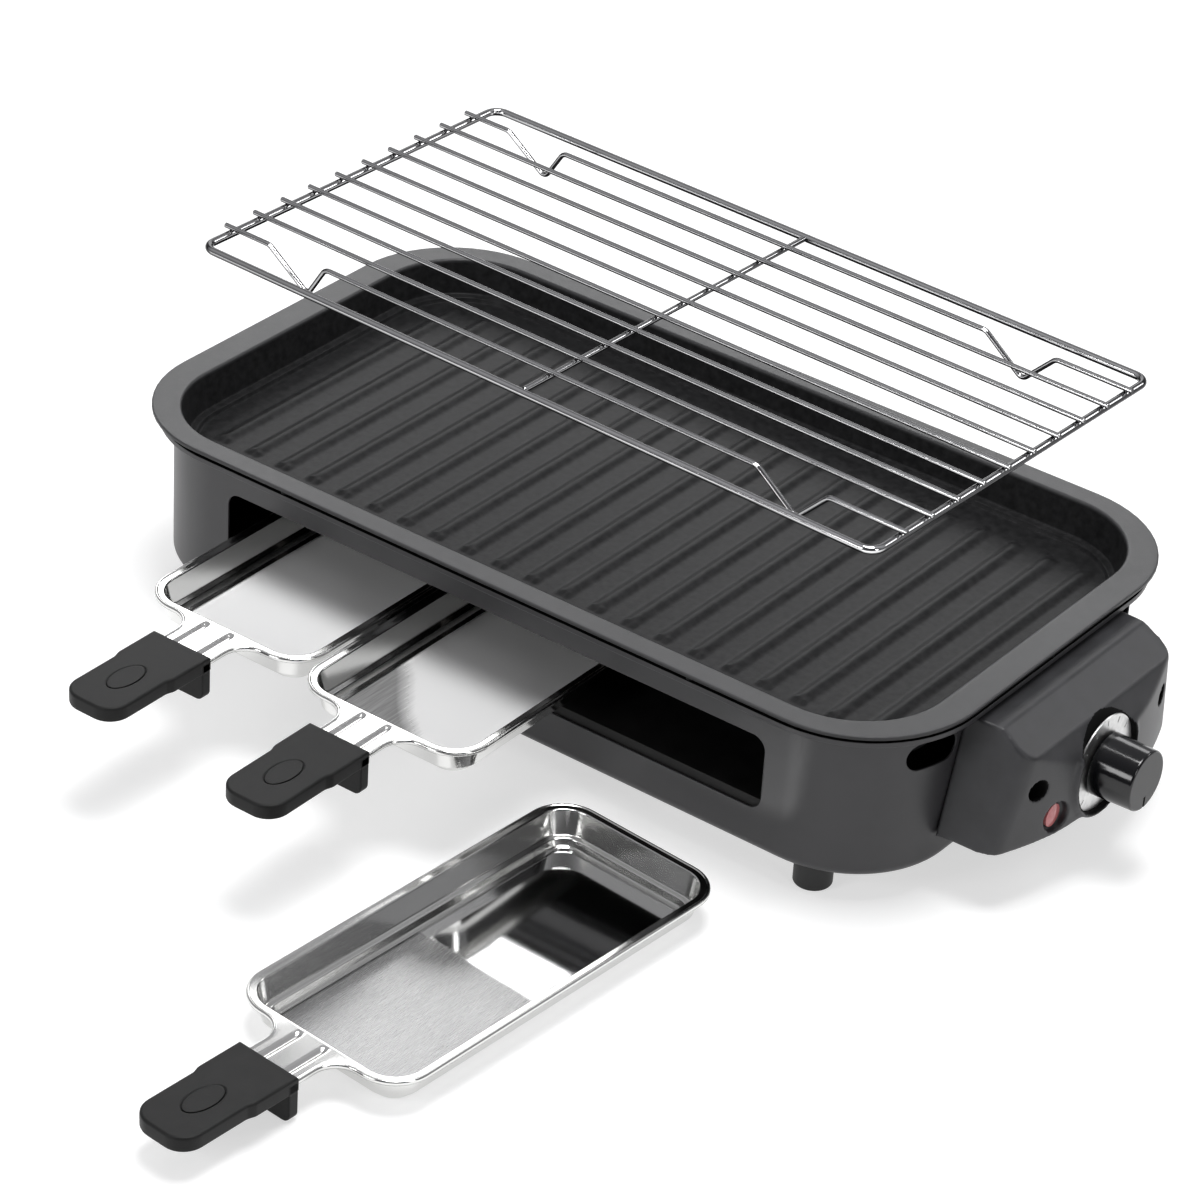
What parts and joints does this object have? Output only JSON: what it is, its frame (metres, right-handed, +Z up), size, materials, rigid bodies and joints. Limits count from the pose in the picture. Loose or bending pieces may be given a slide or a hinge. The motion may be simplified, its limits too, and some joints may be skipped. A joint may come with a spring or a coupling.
{
  "type": "electric table roaster",
  "caption": "Electric table-top roaster with a ribbed grill plate, a wire rack, small pans that slide in below, and a control box with dial and lamp",
  "frame": {"origin": "centre of the whole set's outline, at table height", "axes": "+X towards the control box, +Y away from the slot, +Z up"},
  "size_m": [0.5264, 0.5884, 0.1897],
  "materials": {
    "body_paint": "satin dark grey heat-resistant paint",
    "plate_coating": "non-stick coating with a fine sparkle on cast aluminium",
    "rack_chrome": "bright chrome-plated wire",
    "pan_steel": "polished walls, lightly brushed floor",
    "handle_plastic": "matte black moulded plastic",
    "foot_rubber": "black moulded foot",
    "box_plastic": "fine-grained dark grey plastic",
    "knob_plastic": "glossy black plastic",
    "dial_metal": "silver scale plate with plain marks",
    "lens_red": "clear red indicator lens",
    "ceramic_white": "off-white ceramic",
    "lead_sleeve": "glass-fibre sleeve",
    "bush_rubber": "black rubber",
    "element_steel": "heat-darkened tube",
    "plated_sheet": "zinc-plated sheet, heat-dulled",
    "zinc_screws": "zinc-plated screws, nuts and rivets"
  },
  "bodies": {
    "body": {"body_shell": "body_paint", "bottom_plate": "plated_sheet", "bottom_screws": "zinc_screws", "foot_front_left": "foot_rubber", "foot_front_right": "foot_rubber", "foot_back_left": "foot_rubber", "foot_back_right": "foot_rubber", "foot_screws": "zinc_screws", "foot_nuts": "zinc_screws", "pan_shelf": "plated_sheet", "shelf_rivets": "zinc_screws", "heating_element": "element_steel", "element_collars": "ceramic_white", "element_pins": "zinc_screws", "element_support_left": "plated_sheet", "element_support_right": "plated_sheet", "element_saddles": "plated_sheet", "control_cover": "box_plastic", "cover_screws": "zinc_screws", "cover_nuts": "zinc_screws", "dial_plate": "dial_metal", "thermostat_body": "ceramic_white", "thermostat_nut": "zinc_screws", "thermostat_bracket": "plated_sheet", "bracket_screws": "zinc_screws", "lamp_lens": "lens_red", "lamp_body": "ceramic_white", "terminal_block": "ceramic_white", "terminal_screw": "zinc_screws", "inner_leads": "lead_sleeve", "cord_inlet_bush": "bush_rubber"},
    "plate": {"grill_plate": "plate_coating"},
    "rack": {"rack_frame": "rack_chrome", "rack_bars": "rack_chrome", "rack_leg_bar_front": "rack_chrome", "rack_leg_bar_back": "rack_chrome", "rack_cross_bar": "rack_chrome"},
    "pan_left": {"pan_left_tray": "pan_steel", "pan_left_handle": "handle_plastic", "pan_left_screw": "zinc_screws"},
    "pan_middle": {"pan_middle_tray": "pan_steel", "pan_middle_handle": "handle_plastic", "pan_middle_screw": "zinc_screws"},
    "pan_loose": {"pan_loose_tray": "pan_steel", "pan_loose_handle": "handle_plastic", "pan_loose_screw": "zinc_screws"},
    "dial_knob": {"knob": "knob_plastic", "thermostat_shaft": "zinc_screws"}
  },
  "joints": [
    {"name": "plate_lift", "type": "slide", "parent": "body", "child": "plate", "axis": [0, 0, 1], "range_m": [0, 0.06]},
    {"name": "rack_lift", "type": "slide", "parent": "plate", "child": "rack", "axis": [0, 0, 1], "range_m": [-0.0847, 0]},
    {"name": "pan_left_slide", "type": "slide", "parent": "body", "child": "pan_left", "axis": [0, 1, 0], "range_m": [-0.06, 0.0995]},
    {"name": "pan_middle_slide", "type": "slide", "parent": "body", "child": "pan_middle", "axis": [0, 1, 0], "range_m": [-0.05, 0.1095]},
    {"name": "pan_loose_lift", "type": "slide", "parent": "body", "child": "pan_loose", "axis": [0, 0, 1], "range_m": [0, 0.15]},
    {"name": "knob_turn", "type": "hinge", "parent": "body", "child": "dial_knob", "pos_m": [0.24115, 0.15718, 0.053], "axis": [-1, 0, 0], "range_deg": [0, 270]}
  ]
}
